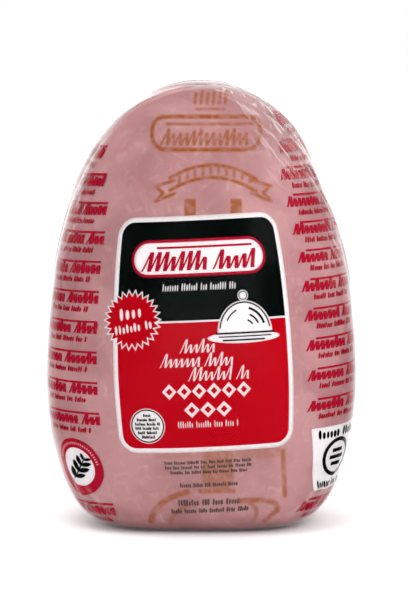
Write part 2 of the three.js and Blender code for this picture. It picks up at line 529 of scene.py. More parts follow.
def bars(rows, columns=24):
    """Straight rules as equal grids: rows is a list of (left, right, centre height, height)."""
    left, right, centre, height = np.array(rows, dtype=float).T[:, :, None, None]
    side = np.linspace(-0.5, 0.5, 5)[:, None]
    p = left + (right - left) * np.linspace(0, 1, columns + 1) + 0 * side
    return p, centre + height * side + 0 * p


# ---------------------------------------------------------------------------------------------
# Materials.


def linear(colour):
    """An sRGB hex colour, or three sRGB shares from 0 to 1, as linear red, green, blue and alpha."""
    if isinstance(colour, str):
        colour = [int(colour[i : i + 2], 16) / 255 for i in (0, 2, 4)]
    shares = [c / 12.92 if c <= 0.04045 else ((c + 0.055) / 1.055) ** 2.4 for c in colour]
    return (*shares, 1.0)


def add_node(tree, kind, values=None, links=None, **settings):
    """Add a node: settings are its own properties, values go on its sockets, links come into them.
    A link from a node is from its first output."""
    node = tree.nodes.new(kind)
    for name, value in settings.items():
        setattr(node, name, value)
    for socket, value in (values or {}).items():
        node.inputs[socket].default_value = value
    for socket, source in (links or {}).items():
        if isinstance(source, bpy.types.Node):
            source = source.outputs[0]
        tree.links.new(source, node.inputs[socket])
    return node


def new_material(name):
    """An empty node material."""
    material = bpy.data.materials.new(name)
    material.use_nodes = True
    material.node_tree.nodes.clear()
    return material, material.node_tree


MIX_FACTOR, MIX_A, MIX_B, MIX_COLOUR = 0, 6, 7, 2


def cured_meat(settings):
    """Boneless ham, cooked in a mould: pink lean in broad soft patches where the muscles meet, fine
    paler marbling, a moist surface, and brown stains where wet print has soaked in."""
    material, tree = new_material("cooked_cured_meat")
    place = add_node(tree, "ShaderNodeTexCoord").outputs["Object"]
    # Muscles are about 40 mm across, and pressed together with no clear edge.
    muscle = add_node(
        tree, "ShaderNodeTexNoise",
        {"Scale": 1 / 0.040, "Detail": 3.0, "Roughness": 0.5, "Distortion": 0.4}, {"Vector": place},
    )
    muscle_edge = add_node(
        tree, "ShaderNodeMapRange", {"From Min": 0.36, "From Max": 0.64}, {"Value": muscle},
        interpolation_type="SMOOTHSTEP",
    )
    lean = add_node(
        tree, "ShaderNodeMix",
        {MIX_A: linear(settings.meat_deep), MIX_B: linear(settings.meat_light)},
        {MIX_FACTOR: muscle_edge}, data_type="RGBA",
    )
    # Marbling is about 7.5 mm from streak to streak.
    marbling = add_node(
        tree, "ShaderNodeTexNoise",
        {"Scale": 1 / 0.0075, "Detail": 4.0, "Roughness": 0.62, "Distortion": 1.1}, {"Vector": place},
    )
    streaks = add_node(
        tree, "ShaderNodeMapRange",
        {"From Min": 0.52, "From Max": 0.78, "To Max": 0.42}, {"Value": marbling},
    )
    marbled = add_node(
        tree, "ShaderNodeMix", {MIX_B: linear(settings.meat_fat)},
        {MIX_FACTOR: streaks, MIX_A: lean.outputs[MIX_COLOUR]}, data_type="RGBA",
    )
    # The stain is broken up where the film doesn't touch the meat, about 4.5 mm from gap to gap.
    stain = add_node(tree, "ShaderNodeAttribute", attribute_name="stain")
    gaps = add_node(tree, "ShaderNodeTexNoise", {"Scale": 1 / 0.0045, "Detail": 2.0}, {"Vector": place})
    hold = add_node(
        tree, "ShaderNodeMapRange",
        {"From Min": 0.28, "From Max": 0.56, "To Min": 0.45, "To Max": 1.0}, {"Value": gaps},
    )
    soaked = add_node(
        tree, "ShaderNodeMath", None, {0: stain.outputs["Fac"], 1: hold}, operation="MULTIPLY"
    )
    colour = add_node(
        tree, "ShaderNodeMix", {MIX_B: linear(settings.stain_colour)},
        {MIX_FACTOR: soaked, MIX_A: marbled.outputs[MIX_COLOUR]}, data_type="RGBA",
    )
    # Grain of the lean, about 1.6 mm.
    grain = add_node(
        tree, "ShaderNodeTexNoise", {"Scale": 1 / 0.0016, "Detail": 3.0, "Roughness": 0.6}, {"Vector": place}
    )
    wet = add_node(tree, "ShaderNodeMapRange", {"To Min": 0.34, "To Max": 0.56}, {"Value": marbling})
    bump = add_node(tree, "ShaderNodeBump", {"Strength": 0.35, "Distance": 0.0004}, {"Height": grain})
    surface = add_node(
        tree, "ShaderNodeBsdfPrincipled",
        {"Specular IOR Level": 0.25, "IOR": 1.38, "Subsurface Weight": 0.12, "Subsurface Scale": 0.003,
         "Subsurface Radius": (1.0, 0.35, 0.25)},
        {"Base Color": colour.outputs[MIX_COLOUR], "Roughness": wet, "Normal": bump},
    )
    add_node(tree, "ShaderNodeOutputMaterial", None, {"Surface": surface})
    return material


def clear_film(name, settings, haze_and_glint, wave):
    """Clear heat-shrunk film, about 0.06 mm of blown multilayer plastic: next to no colour, a clean
    gloss that is faint face on and bright at the rims, and milky where it is gathered in layers, a
    white that is partly the layered film's own and partly painted highlight, as the white crease
    streaks are. haze_and_glint is its milkiness where it is plain and where it is gathered, and wave
    is the ripples' scale."""
    material, tree = new_material(name)
    place = add_node(tree, "ShaderNodeTexCoord").outputs["Object"]
    gathered = add_node(tree, "ShaderNodeAttribute", attribute_name="gathered")
    # Shrinking leaves shallow ripples about 9 mm apart, or 4 mm on the pressed mouth, and a finer
    # orange peel of about 2 mm.
    ripples = add_node(
        tree, "ShaderNodeTexNoise", {"Scale": 1 / wave, "Detail": 2.0, "Distortion": 0.6}, {"Vector": place}
    )
    peel = add_node(tree, "ShaderNodeTexNoise", {"Scale": 1 / 0.0022, "Detail": 1.0}, {"Vector": place})
    broad = add_node(tree, "ShaderNodeBump", {"Strength": 0.5, "Distance": 0.0003}, {"Height": ripples})
    fine = add_node(
        tree, "ShaderNodeBump", {"Strength": 0.18, "Distance": 0.0001},
        {"Height": peel, "Normal": broad},
    )
    gloss = add_node(
        tree, "ShaderNodeBsdfGlossy",
        {"Color": linear("FFFFFF"), "Roughness": settings.film_roughness}, {"Normal": fine},
    )
    clear = add_node(tree, "ShaderNodeBsdfTransparent", {"Color": linear("FDFCFC")})
    rim = add_node(tree, "ShaderNodeFresnel", {"IOR": settings.film_index})
    # Face on, the film all but touches the meat and the ink, so most of its gloss is lost there.
    rim_only = add_node(
        tree, "ShaderNodeMapRange",
        {"From Min": 0.1, "From Max": 0.65, "To Min": 0.003, "To Max": 0.95}, {"Value": rim},
    )
    shine = add_node(tree, "ShaderNodeMixShader", None, {0: rim_only, 1: clear, 2: gloss})
    front_lit = add_node(
        tree, "ShaderNodeBsdfPrincipled",
        {"Base Color": linear("F8F1EF"), "Roughness": 0.3, "Specular IOR Level": 0.3},
        {"Normal": fine},
    )
    back_lit = add_node(tree, "ShaderNodeBsdfTranslucent", {"Color": linear("F8F1EF")})
    milk = add_node(tree, "ShaderNodeMixShader", {0: 0.22}, {1: front_lit, 2: back_lit})
    # Painted highlights: thin white streaks of milk, about 24 mm long and 3 mm apart, which run down
    # and outwards from the crown, alike on both sides, and stand for the gloss on the film's creases.
    parts = add_node(tree, "ShaderNodeSeparateXYZ", None, {0: place})
    out = add_node(tree, "ShaderNodeMath", None, {0: parts.outputs["X"]}, operation="ABSOLUTE")
    both_sides = add_node(
        tree, "ShaderNodeCombineXYZ", None,
        {"X": out, "Y": parts.outputs["Y"], "Z": parts.outputs["Z"]},
    )
    downwards = add_node(
        tree, "ShaderNodeMapping", {"Rotation": (0, math.radians(52), 0), "Scale": (0.024, 0.006, 0.0032)},
        {"Vector": both_sides}, vector_type="TEXTURE",
    )
    streaks = add_node(
        tree, "ShaderNodeTexNoise", {"Scale": 1.0, "Detail": 2.0, "Distortion": 0.5},
        {"Vector": downwards},
    )
    lines = add_node(
        tree, "ShaderNodeMapRange", {"From Min": 0.54, "From Max": 0.64, "To Max": 0.9},
        {"Value": streaks},
    )
    creased = add_node(tree, "ShaderNodeAttribute", attribute_name="creased")
    painted_highlight_lines = add_node(
        tree, "ShaderNodeMath", None, {0: lines, 1: creased.outputs["Fac"]}, operation="MULTIPLY"
    )
    folded = add_node(
        tree, "ShaderNodeMapRange", {"To Min": haze_and_glint[0], "To Max": haze_and_glint[1]},
        {"Value": gathered.outputs["Fac"]},
    )
    # The milk's share: the gathered film's white, partly painted highlight, or the painted crease highlights,
    # whichever is more.
    milk_and_glint = add_node(tree, "ShaderNodeMath", None, {0: folded, 1: painted_highlight_lines}, operation="MAXIMUM")
    surface = add_node(tree, "ShaderNodeMixShader", None, {0: milk_and_glint, 1: shine, 2: milk})
    add_node(tree, "ShaderNodeOutputMaterial", None, {"Surface": surface})
    return material


def printing_ink(name, colour, worn_colour, roughness, gloss):
    """Solvent ink laid on film by a gravure roll: even and solid, but with a fine mottle where the
    cells of the roll have filled unevenly, so it is a shade lighter in specks."""
    material, tree = new_material(name)
    place = add_node(tree, "ShaderNodeTexCoord").outputs["Object"]
    # The roll's cells are 0.15 mm apart, and the mottle is drawn at 2.4 mm so that it shows.
    mottle = add_node(
        tree, "ShaderNodeTexNoise", {"Scale": 1 / 0.0024, "Detail": 3.0, "Roughness": 0.65}, {"Vector": place}
    )
    thin = add_node(tree, "ShaderNodeMapRange", {"From Min": 0.45, "From Max": 0.8}, {"Value": mottle})
    tone = add_node(
        tree, "ShaderNodeMix", {MIX_A: linear(colour), MIX_B: linear(worn_colour)},
        {MIX_FACTOR: thin}, data_type="RGBA",
    )
    bump = add_node(tree, "ShaderNodeBump", {"Strength": 0.1, "Distance": 0.0001}, {"Height": mottle})
    surface = add_node(
        tree, "ShaderNodeBsdfPrincipled", {"Roughness": roughness, "Specular IOR Level": gloss},
        {"Base Color": tone.outputs[MIX_COLOUR], "Normal": bump},
    )
    add_node(tree, "ShaderNodeOutputMaterial", None, {"Surface": surface})
    return material


def ink(kind):
    """One of the five inks, made the first time that it is asked for."""
    settings = bpy.context.scene.ham_print
    # Its material's name, its colour, its colour in specks, its roughness and its specular level.
    recipes = {
        "white": ("white_gravure_ink", settings.white, "EAE3E1", 0.4, 0.2),
        "red": ("red_gravure_ink", settings.red, "C2041C", 0.38, 0.0),
        "dark_red": ("dark_red_gravure_ink", settings.dark_red, "BC0E36", 0.38, 0.02),
        "black": ("black_gravure_ink", settings.black, "040C08", 0.35, 0.0),
        "brown": ("brown_gravure_ink", settings.brown, "866E66", 0.42, 0.1),
    }
    name, colour, worn, roughness, gloss = recipes[kind]
    return bpy.data.materials.get(name) or printing_ink(name, colour, worn, roughness, gloss)


# ---------------------------------------------------------------------------------------------
# Sizes and colours that a user would change.


def colour_prop(name, description, hex_colour):
    """A colour setting shown in sRGB."""
    shares = [int(hex_colour[i : i + 2], 16) / 255 for i in (0, 2, 4)]
    return bpy.props.FloatVectorProperty(
        name=name, description=description, default=shares, min=0, max=1, size=3, subtype="COLOR_GAMMA"
    )


def length_prop(name, description, default, low, high):
    """A length setting, kept in metres."""
    return bpy.props.FloatProperty(
        name=name, description=description, default=default, min=low, max=high,
        unit="LENGTH", subtype="DISTANCE",
    )


def power_prop(name, place, default):
    """A light's power setting, in watts."""
    return bpy.props.FloatProperty(
        name=name, description="Power of the soft light " + place, default=default,
        min=0, max=100, unit="POWER",
    )


class HamMeatSettings(bpy.types.PropertyGroup):
    meat_deep: colour_prop("Deep lean", "Darker patches of the lean meat", "B8888A")
    meat_light: colour_prop("Light lean", "Lighter patches of the lean meat", "C99B9D")
    meat_fat: colour_prop("Marbling", "Fine pale streaks in the lean", "E2BEBC")
    stain_colour: colour_prop("Stain", "Where brown print has soaked into the meat", "A45C16")


class HamBagSettings(bpy.types.PropertyGroup):
    film_roughness: bpy.props.FloatProperty(
        name="Roughness", description="How much the film's gloss is spread", default=0.1, min=0, max=1
    )
    film_index: bpy.props.FloatProperty(
        name="Rim gloss", description="Refractive index, which sets how soon the film's rims turn bright",
        default=1.5, min=1.0, max=2.0,
    )
    flap_width: length_prop(
        "Flap width", "Width of the pressed mouth that is folded over the crown", 0.066, 0.02, 0.09
    )


class HamPrintSettings(bpy.types.PropertyGroup):
    white: colour_prop("White ink", "Label edge, strokes and small shapes", "F3F1F3")
    red: colour_prop("Red ink", "Lower panel and burst", "BF0015")
    dark_red: colour_prop("Side mark ink", "Pill edge, and the marks down the bag", "B80830")
    black: colour_prop("Black ink", "Upper panel and fine lines", "020605")
    brown: colour_prop("Small print ink", "Thin dark ink over the meat", "6A564E")
    label_width: length_prop("Label width", "Distance across the label, round the bag", 0.119, 0.08, 0.13)
    label_height: length_prop("Label height", "Distance up the label", 0.1534, 0.12, 0.17)
    mark_pitch: length_prop(
        "Mark pitch", "Distance from one side mark to the next above it", 0.0205, 0.014, 0.04
    )


# ---------------------------------------------------------------------------------------------
# The meat.

STAIN_EDGE = 1.3  # the width over which the side of a stained line fades, in mm


def near_line(x, z, corners, width, edge=STAIN_EDGE):
    """1 on a line, falling to 0 past its half width, for stains. The line is straight between two
    corners, or the quadratic Bezier curve of three, drawn as short straight lines."""
    line = bezier(np.linspace(0, 1, 11), *corners) if len(corners) == 3 else np.array(corners)
    gap = np.inf
    for (x0, z0), (x1, z1) in zip(line[:-1], line[1:]):
        length2 = (x1 - x0) ** 2 + (z1 - z0) ** 2
        t = np.clip(((x - x0) * (x1 - x0) + (z - z0) * (z1 - z0)) / length2, 0, 1)
        gap = np.minimum(gap, np.hypot(x - x0 - t * (x1 - x0), z - z0 - t * (z1 - z0)))
    return 1 - smooth(width / 2 - edge / 2, width / 2 + edge / 2, gap)


def near_box_edge(x, z, centre, half, radius, width, edge=STAIN_EDGE):
    """1 on the outline of a rounded box."""
    dx = np.abs(x - centre[0]) - half[0] + radius
    dz = np.abs(z - centre[1]) - half[1] + radius
    gap = np.hypot(np.maximum(dx, 0), np.maximum(dz, 0)) + np.minimum(np.maximum(dx, dz), 0) - radius
    return 1 - smooth(width / 2 - edge / 2, width / 2 + edge / 2, np.abs(gap))


# Stains under the label, where the print's lines have run: strength, width, softness of the edge,
# and a line's two ends or a curve's three corners.
LOOSE_STAINS = [
    (0.3, 7, 3, ((-27, 57), (50, 57))),
    (0.62, 21, 3, ((11, 54), (11, 41))),
    (0.75, 3.5, 2, ((0, 31.8), (21, 31.8))),
    (0.75, 3.0, 1.6, ((53.5, 58), (55.4, 27))),
    (0.8, 4.0, 2, ((-33, 9), (-31, 25), (-9, 31))),
    (0.5, 3.0, 2, ((-20, 8), (-18, 17), (-8, 22))),
    (0.8, 3.6, 2, ((24, 24.4), (53, 27), (50, 16.5))),
    (0.7, 3.4, 2, ((50, 16.5), (42, 9))),
    (0.6, 3.0, 2, ((32, 23), (40, 18), (34, 9))),
]


def stain_lines():
    """Stained lines over the label, each as strength, width and corners: short strokes at the crown
    with a rule under them, a rule and strokes that fill the box, and a bent ribbon with split ends."""
    lines = [(0.7, 1.8, ((-3, 280), (15, 280))), (0.8, 2.0, ((-22, 270.4), (34, 270.4)))]
    for i, across in enumerate(np.arange(-4, 17, 4.0)):
        lines.append((0.75, 2.2, ((across, 284), (across + 0.8, 290 + 1.5 * (i % 2)))))
    for i in range(26):
        left, right = -26 + i * 2.15, -26 + (i + 1) * 2.15
        tall = (9.0, 6.0, 6.4, 6.0, 8.0)[(i // 2) % 5]
        foot, head = (left, right) if i % 2 == 0 else (right, left)
        ends = ((foot, 257.6), (head + 0.3 * tall, 257.6 + tall))
        lines.append((0.85, (1.5, 2.3)[i % 2], ends))
    for lower in (0, 8):
        lines.append((1, 2.1, ((-20, 236 - lower), (8, 253 - lower), (36, 235 - lower))))
    for i in range(10):
        across = -14 + i * 5.1
        bend = 240.5 - 0.0105 * (across - 9) ** 2
        lines.append((0.7, 2.1, ((across, bend - 1.7), (across, bend + 1.9))))
    for side in (-1, 1):
        root, tip, notch = 8 + side * 25, 8 + side * 37.5, 8 + side * 32.5
        tail = [(root, 234.5), (tip, 230.5), (notch, 226.4), (tip, 221), (root, 226)]
        lines += [(1, 2.0, ends) for ends in zip(tail[:-1], tail[1:])]
    return lines


def stain_pattern(x, z):
    """Brown stains on the front of the meat, from print that lay against it: the lines over the
    label, a plain rounded box round some of them, two posts, and the loose ones under the label.
    x and z are in mm."""
    shapes = [strength * near_line(x, z, corners, width) for strength, width, corners in stain_lines()]
    shapes += [
        strength * near_line(x, z, corners, width, edge) for strength, width, edge, corners in LOOSE_STAINS
    ]
    shapes.append(near_box_edge(x, z, (3.4, 264.6), (35.4, 10.6), 9, 2.7))
    for across in (-7, 22.8):
        post = smooth(0, 1, 4.2 - np.abs(x - across)) * smooth(0, 1, 223 - z) * smooth(0, 1, z - 205)
        shapes.append(0.9 * post)
    return np.max(shapes, axis=0)


# The stained front lies between these two distances round from the front centre, in mm.
STAINED_FROM, STAINED_TO = -66, 80


class OBJECT_OT_ham_meat(bpy.types.Operator):
    """Make the ham's meat, with the stains on its front"""

    bl_idname = "object.ham_meat"
    bl_label = "Cooked ham"

    def execute(self, context):
        # The grid is fine where the stains are and coarser over the rest.
        stained = np.interp((STAINED_FROM, STAINED_TO), GIRTH_LENGTHS, GIRTH_ANGLES)
        fine = np.linspace(*stained, 170)
        coarse = np.linspace(stained[1], stained[0] + 2 * np.pi, 98)[1:-1]
        angles = np.concatenate([fine, coarse])
        rises = np.concatenate([np.linspace(-FOOT_REACH, 0, 13)[:-1], np.linspace(0, SIDE_REACH, 350)])
        along, around = np.meshgrid(rises, angles, indexing="ij")
        points = ham_skin(around, along, -film_gap(plain_surface(around, along)))
        faces = grid_faces(1, len(rises), len(angles), closed=True)
        material = cured_meat(context.scene.ham_meat)
        piece = new_piece("ham_meat", points, faces, material, "cooked_ham", weld=True)
        x, y, z = vertex_places(piece).T
        set_shares(piece, stain=np.where(y < 0, stain_pattern(x, z), 0.0))
        return {"FINISHED"}


# ---------------------------------------------------------------------------------------------
# The bag.


def crown_height(x, y):
    """Height of the film over a place of the crown: the profile's formula turned round."""
    share = (
        np.abs(x / (HALF_WIDTH + FILM_LIFT)) ** SQUARENESS
        + np.abs(y / (HALF_DEPTH + FILM_LIFT)) ** SQUARENESS
    ) ** (1 / SQUARENESS)
    s = (1 - share ** (1 / CROWN_ROUND)) ** (1 / CROWN_POWER)
    return HAM_HEIGHT * (WIDEST_AT + (1 - WIDEST_AT) * s) + 2 * FILM_LIFT


# The milkiness of each film where it is plain and where it is gathered, partly painted highlight, and its
# ripples in metres.
FILM_HAZE_AND_GLINT, FILM_RIPPLE = (0.0, 0.72), 0.009
FLAP_HAZE_AND_GLINT, FLAP_RIPPLE = (0.06, 0.3), 0.004
FLAP_THICKNESS = 0.4
FULL_FOLD = 1.6  # a fold this high is as milky as a fold can be

# The flap's centreline from root to tip: distance behind the crown line, and height over the film.
FLAP_BACK = np.array([-0.8, -0.9, -0.5, 0.9, 3.0, 5.5, 8.5, 11.5, 14.5, 17.0])
FLAP_RISE = np.array([0.9, 1.8, 2.6, 2.9, 2.5, 2.1, 1.9, 1.8, 1.7, 1.6])


class OBJECT_OT_ham_bag(bpy.types.Operator):
    """Make the clear bag with its folds, and the pressed mouth folded over the crown"""

    bl_idname = "object.ham_bag"
    bl_label = "Shrink bag"

    def execute(self, context):
        self.make_film(context.scene.ham_bag)
        self.make_flap(context.scene.ham_bag)
        return {"FINISHED"}

    def make_film(self, settings):
        """The whole closed film: the meat's surface moved out by the film's lift, with all folds. Its
        grid is closest at the front and at half its height."""
        turns = np.linspace(-np.pi, np.pi, 381)[:-1]
        angles = turns - 0.25 * np.sin(turns)
        climb = np.linspace(0, 1, 240)
        rises = np.concatenate(
            [np.linspace(-FOOT_REACH, 0, 17)[:-1], SIDE_REACH * (climb + 0.06 * np.sin(2 * np.pi * climb))]
        )
        along, around = np.meshgrid(rises, angles, indexing="ij")
        points = ham_skin(around, along, FILM_LIFT, film=True)
        faces = grid_faces(1, len(rises), len(angles), closed=True)
        material = clear_film("clear_shrink_film", settings, FILM_HAZE_AND_GLINT, FILM_RIPPLE)
        film = new_piece("bag_film", points, faces, material, "shrink_bag", weld=True)
        places = vertex_places(film)
        # Folds and the ridge are made milky: partly the white of film in layers, partly painted highlight.
        gathered = np.clip(fold_height(places) / FULL_FOLD, 0, 1) ** 1.5
        gathered = gathered + ridge_height(places) / RIDGE_HEIGHT
        # Painted highlights: white crease streaks over the right shoulder and the two rims under the crown,
        # and across the crown.
        x, y, z = places.T
        right_shoulder = np.exp(-(((x - 68) / 22) ** 2) - ((z - 266) / 24) ** 2)
        right_rim = np.exp(-(((x - 95) / 12) ** 2) - ((z - 226) / 36) ** 2)
        left_rim = np.exp(-(((x + 90) / 9) ** 2) - ((z - 238) / 36) ** 2)
        crown = 0.8 * np.exp(-(((z - 296) / 16) ** 2)) * smooth(-14, 10, x + y)
        creased = np.clip(right_shoulder + right_rim + left_rim + crown, 0, 1)
        # A painted highlight: more milk down the left edge under the crown.
        left_edge_painted_highlight = np.exp(-(((y + 7) / 8) ** 2)) * smooth(205, 238, z) * smooth(296, 284, z) * (x < 0)
        gathered = gathered + 0.2 * creased + 0.55 * left_edge_painted_highlight
        set_shares(film, gathered=np.clip(gathered, 0, 1), creased=creased)

    def make_flap(self, settings):
        """The flap: its centreline carried across the crown, with ripples that grow to its tip, whose
        corners are drawn in by the second and eighth powers of the distance across."""
        half = settings.flap_width / MM / 2
        across = np.linspace(-half, half, 121)
        corner = np.arange(len(FLAP_BACK))
        run = np.linspace(0, corner[-1], 46)
        x, t = np.meshgrid(across, run, indexing="ij")
        back = np.interp(t, corner, FLAP_BACK)
        rise = np.interp(t, corner, FLAP_RISE)
        tip = t / corner[-1]
        slack = 1 - 0.75 * (x / half) ** 2
        pleat = np.sin(x / 2.1 + 1.4 * np.sin(x / 7))
        ripple = 0.5 * pleat * tip * (1 - 0.6 * tip)
        bowed = 3.6 * (x / half) ** 2 + 4.6 * (x / half) ** 8
        back = back + 1.3 * np.sin(x / 8 + 0.7) * tip**2 - bowed * tip
        height = crown_height(x, back) + rise * slack + ripple * slack
        points = np.stack([x, back, height], axis=-1)
        faces = grid_faces(1, len(across), len(run))[:, ::-1]
        material = clear_film("pressed_film", settings, FLAP_HAZE_AND_GLINT, FLAP_RIPPLE)
        flap = new_piece("bag_flap", points, faces, material)
        # The sealed band and the crests of the pleats are milky, partly the film's own white and partly
        # painted highlight.
        seal = (smooth(0.5, 0.6, tip) - smooth(0.74, 0.84, tip)) * (1 - 0.7 * (x / half) ** 4)
        gathered = np.clip(seal + 0.55 * np.clip(pleat, 0, 1) ** 3 * (1 - seal), 0, 1)
        set_shares(flap, gathered=gathered, creased=0 * gathered)
        thicken(flap, FLAP_THICKNESS)


# ---------------------------------------------------------------------------------------------
# The print. Its sizes are in mm on the print's own frame. A row is given as its left end, right end,
# centre height and height.

LABEL_EDGE = 3.2
LABEL_RISE = 1.3  # the label's middle over the print frame's origin
LABEL_CORNER = 12.0
PANEL_CORNER = 0.3  # at the divider between the two panels
DIVIDER_AT = 10.3
DIVIDER = 1.3


class OBJECT_OT_ham_label(bpy.types.Operator):
    """Make the front label: its white edge, and its black and red panels"""

    bl_idname = "object.ham_label"
    bl_label = "Label"

    def execute(self, context):
        settings = context.scene.ham_print
        right = settings.label_width / MM / 2
        rise = settings.label_height / MM / 2
        top, bottom = LABEL_RISE + rise, LABEL_RISE - rise
        edge = rounded_box(-right, right, bottom, top, [LABEL_CORNER] * 4)
        ink_sheet("label_edge", filled(edge, (0, LABEL_RISE), 36), "base", "white", weld=True)
        right, top, bottom = right - LABEL_EDGE, top - LABEL_EDGE, bottom + LABEL_EDGE
        over, under = DIVIDER_AT + DIVIDER / 2, DIVIDER_AT - DIVIDER / 2
        wide, tight = LABEL_CORNER - LABEL_EDGE, PANEL_CORNER
        upper = rounded_box(-right, right, over, top, [wide, wide, tight, tight])
        lower = rounded_box(-right, right, bottom, under, [tight, tight, wide, wide])
        upper_sheet = filled(upper, (0, (over + top) / 2), 26)
        lower_sheet = filled(lower, (0, (under + bottom) / 2), 30)
        ink_sheet("label_black_panel", upper_sheet, "panel", "black", weld=True)
        ink_sheet("label_red_panel", lower_sheet, "panel", "red", weld=True)
        return {"FINISHED"}


PILL_CENTRE = (-0.4, 51.2)
DISH_MIDDLE = 28.5
COVER_FOOT = 2.0
COVER_HALF_WIDTH = 18.2
COVER_RISE = 20.5
KNOB_CENTRE = (DISH_MIDDLE, 25.6)


class OBJECT_OT_ham_label_marks(bpy.types.Operator):
    """Make what stands on the label: a plain pill, rows of strokes, and a covered dish"""

    bl_idname = "object.ham_label_marks"
    bl_label = "Label marks"

    def execute(self, context):
        edge = rounded_box(-47.9, 47.1, 39.2, 63.2, [11.9] * 4, 2.0)
        face = rounded_box(-46.0, 45.2, 41.1, 61.3, [10.0] * 4, 2.0)
        ink_sheet("pill_edge", filled(edge, PILL_CENTRE, 20), "mark", "dark_red", weld=True)
        ink_sheet("pill_face", filled(face, PILL_CENTRE, 20), "face", "white", weld=True)
        word = [(-40.5, 41.5, 49.3, 12.4)]
        rule = [(-30, 38, 58.0, 1.4)]
        ink_sheet("pill_strokes", scribbles(word, 4, 5.2, 2.8, 0.36, 0.66), "stroke", "dark_red")
        ink_sheet("pill_rule", bars(rule), "stroke", "dark_red")
        tagline = [(-26, 24.5, 32.5, 5.0)]
        script = [(-15, 10.3, -5.6, 9.0), (-28.3, 25.5, -14.6, 9.0), (-10.2, 32.0, -23.8, 9.0)]
        block = [(-27.7, 30.8, -35.0, 10.4, 6), (-13.9, 17.9, -47.3, 10.4, 3)]
        small = [(-18.5, 22, -56.8, 4.6)]
        ink_sheet("tagline_strokes", strokes(tagline, 5, 1.9, 0.62, 0.1), "mark", "white")
        ink_sheet("heading_script", scribbles(script, 8, 3.6, 1.3, 0.34, 0.62), "mark", "white")
        ink_sheet("heading_block", lozenges(block), "mark", "white")
        ink_sheet("heading_small", strokes(small, 10, 1.9, 0.55), "mark", "white")
        self.make_dish()
        return {"FINISHED"}

    def make_dish(self):
        """A covered dish: half an ellipse for the cover, a round knob and a long oval plate in
        white, with thin dark lines where the cover curves and where it meets the plate."""
        angle = np.linspace(0, np.pi, 41)
        foot = np.linspace(-COVER_HALF_WIDTH, COVER_HALF_WIDTH, 15)[1:]
        outline_p = DISH_MIDDLE + np.concatenate([COVER_HALF_WIDTH * np.cos(angle), foot])
        outline_q = COVER_FOOT + np.concatenate([COVER_RISE * np.sin(angle), 0 * foot])
        cover = filled((outline_p, outline_q), (DISH_MIDDLE, COVER_FOOT + 8), 12)
        ink_sheet("dish_cover", cover, "face", "white", weld=True)
        ink_sheet("dish_knob", ring(KNOB_CENTRE, 0, 3.6, 4), "face", "white", weld=True)
        plate = ring((DISH_MIDDLE - 1, -1.2), 0, 24.0, 12, 65, 0.16)
        ink_sheet("dish_plate", plate, "mark", "white", weld=True)
        # Each line runs along the cover: its share of the way out from the middle, its two ends as
        # shares of the half turn, and its weight.
        lines = []
        nib = np.linspace(-0.5, 0.5, 3)[:, None]
        for reach, start, end, weight in (
            (0.91, 0.04, 0.96, 0.9),
            (0.74, 0.1, 0.42, 1.5),
            (0.55, 0.14, 0.38, 1.2),
            (0.36, 0.2, 0.4, 1.0),
            (0.72, 0.62, 0.84, 0.9),
        ):
            turns = np.linspace(end, start, 25) * np.pi
            p = DISH_MIDDLE + (COVER_HALF_WIDTH * reach + weight * nib) * np.cos(turns)
            q = COVER_FOOT + 0.6 + (COVER_RISE * reach + weight * nib) * np.sin(turns)
            lines.append((p[None], q[None]))
        ink_sheet("dish_lines", join_patches(*lines), "stroke", "black")
        ink_sheet("dish_knob_line", ring(KNOB_CENTRE, 2.3, 2.9, 2, 25), "stroke", "black", weld=True)
        rims = [
            (DISH_MIDDLE - 19.5, DISH_MIDDLE + 19.5, 1.6, 1.1),
            (DISH_MIDDLE - 17.5, DISH_MIDDLE + 17.5, -0.6, 0.7),
            (DISH_MIDDLE - 15, DISH_MIDDLE + 13, -2.9, 1.0),
        ]
        ink_sheet("dish_rims", bars(rims), "stroke", "black")


BURST_CENTRE = (-46.4, 12.1)
BURST_TIPS = 26
BURST_TURN = math.radians(10)
SEAL_CENTRE = (-38.6, -57.2)


class OBJECT_OT_ham_seals(bpy.types.Operator):
    """Make the burst at the label's left edge and the round seal in its lower corner"""

    bl_idname = "object.ham_seals"
    bl_label = "Burst and seal"

    def execute(self, context):
        middle = circle(0, BURST_TIPS * 6 + 1)
        edge = between(middle, star(20.2, 16.2, BURST_TIPS), BURST_CENTRE, 9)
        face = between(middle, star(18.3, 14.8, BURST_TIPS), BURST_CENTRE, 8)
        ink_sheet("burst_edge", edge, "face", "white", weld=True)
        ink_sheet("burst_face", face, "stroke", "red", weld=True)
        upper = strokes([(-55, -38.5, 16.8, 7.8)], 21, 2.6, 0.7, 0.1)
        lower = strokes([(-59.5, -33.5, 7.2, 5.8)], 22, 2.5, 0.7, 0.05)
        words = turned(join_patches(upper, lower), BURST_TURN, BURST_CENTRE)
        ink_sheet("burst_strokes", words, "top", "white")
        ink_sheet("seal_face", ring(SEAL_CENTRE, 0, 11.8, 6), "mark", "white", weld=True)
        ink_sheet("seal_ring", ring(SEAL_CENTRE, 10.3, 11.1, 2), "face", "black", weld=True)
        p, q = SEAL_CENTRE
        widths = (5, 14, 17, 17, 14, 9)
        rows = [(p - width / 2, p + width / 2, q + 7.2 - i * 2.9, 2.3) for i, width in enumerate(widths)]
        ink_sheet("seal_strokes", strokes(rows, 23, 2.6, 0.85), "face", "black")
        return {"FINISHED"}


MARK_LENGTH = 61.0
MARK_START = 70.4
# Rows of a side mark: how far each one's middle is under the mark's top, how far its ends are inside
# the mark's at the left and at the right, and its height.
MARK_RULE = (0.5, 8, 1, 1.4)
MARK_BOLD = (4.7, 0, 0, 7.0)
MARK_SMALL = (11.9, 9, 9, 4.0)


def mark_rows(lefts, rights, tops, part):
    """The same row of each mark in a column, whose ends and tops are given."""
    down, from_left, from_right, height = part
    return [
        (left + from_left, right - from_right, top - down, height)
        for left, right, top in zip(lefts, rights, tops)
    ]


